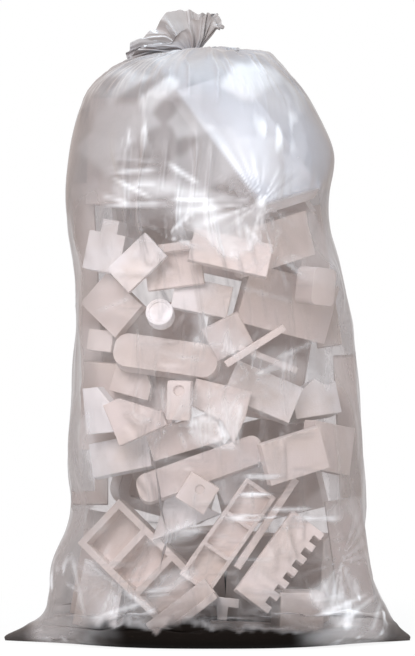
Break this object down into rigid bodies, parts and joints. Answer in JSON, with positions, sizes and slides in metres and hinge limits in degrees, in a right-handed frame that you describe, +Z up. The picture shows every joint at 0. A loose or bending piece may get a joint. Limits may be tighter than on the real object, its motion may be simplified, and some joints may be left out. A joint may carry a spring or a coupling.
{
  "type": "gusseted plastic bag",
  "caption": "Tall clear gusseted film bag, gathered and tied shut at the mouth, standing on its sealed base and full of broken white foam packing.",
  "frame": {"origin": "on the floor under the middle of the bag's base", "axes": "+Z up the bag towards the tied mouth, -Y out of the bag's front, X along the bottom seal from ear to ear"},
  "size_m": [1.1532, 0.7779, 1.804],
  "materials": {
    "film": "clear, slightly milky polythene film with soft creases",
    "foam": "matt white expanded polystyrene with a fine bead grain and broken edges"
  },
  "bodies": {
    "root": {"back_base_guard": "foam", "back_base_tray": "foam", "back_lower_panel": "foam", "back_lower_shell": "foam", "back_middle_guard": "foam", "back_middle_panel": "foam", "back_top_block": "foam", "back_upper_guard": "foam", "back_upper_panel": "foam", "bag_film": "film", "base_block": "foam", "broken_block": "foam", "capped_panel": "foam", "corner_tray": "foam", "crossed_strip": "foam", "diamond_slab": "foam", "dimpled_block": "foam", "dimpled_plate": "foam", "foam_puck": "foam", "inner_panel": "foam", "large_panel": "foam", "leaf_slab": "foam", "left_cheek_slab": "foam", "left_cube": "foam", "left_flank_block": "foam", "left_flank_guard": "foam", "left_flank_panel": "foam", "left_offcut": "foam", "left_plate": "foam", "left_scrap": "foam", "long_beam": "foam", "long_strip": "foam", "lower_left_slab": "foam", "lower_middle_panel": "foam", "lower_right_panel": "foam", "middle_right_panel": "foam", "pale_panel": "foam", "pale_slab": "foam", "ribbed_tray": "foam", "right_flank_guard": "foam", "right_flank_panel": "foam", "right_flank_tray": "foam", "rounded_block": "foam", "rounded_shell": "foam", "shaded_block": "foam", "shard": "foam", "short_guard": "foam", "sloping_panel": "foam", "square_block": "foam", "tabbed_block": "foam", "tee_scrap": "foam", "thin_rail": "foam", "tongue_slab": "foam", "toothed_rail": "foam", "top_block": "foam", "upper_left_block": "foam", "upper_middle_panel": "foam", "upper_right_panel": "foam", "white_slab": "foam", "white_wedge": "foam"}
  },
  "joints": []
}
